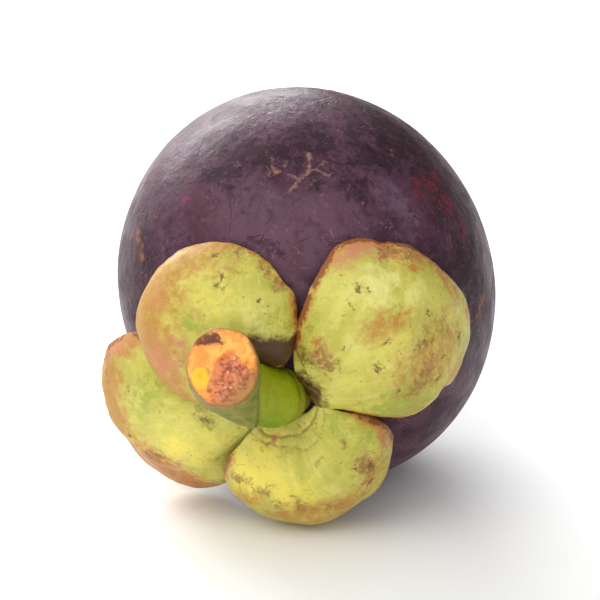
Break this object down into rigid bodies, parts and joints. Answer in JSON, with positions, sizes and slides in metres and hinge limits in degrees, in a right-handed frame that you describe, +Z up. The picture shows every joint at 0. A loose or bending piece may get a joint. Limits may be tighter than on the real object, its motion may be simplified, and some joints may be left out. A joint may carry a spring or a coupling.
{
  "type": "mangosteen",
  "caption": "Whole ripe mangosteen lying on its side: round purple rind, four fleshy green sepals clasping a thick cut stem, and a corky stigma rosette at the far end.",
  "frame": {"origin": "centre of the small flat spot that the fruit lies on", "axes": "+Z up; the stem end points towards -Y, turned a little to -X and dipping below level; the stigma end points towards +Y; +X is to the right of someone who faces the stem end"},
  "size_m": [0.0616, 0.0803, 0.062],
  "materials": {
    "rind": "smooth dark purple rind with a dull waxy bloom",
    "sepal": "fleshy yellow-green with brown margins",
    "stem": "green woody stem with an orange-brown cut end",
    "rosette": "dry corky brown"
  },
  "bodies": {
    "root": {"fruit": "rind", "sepal_outer_upper": "sepal", "sepal_inner_right": "sepal", "sepal_outer_lower": "sepal", "sepal_inner_left": "sepal", "stem": "stem", "stigma_rosette": "rosette"}
  },
  "joints": []
}
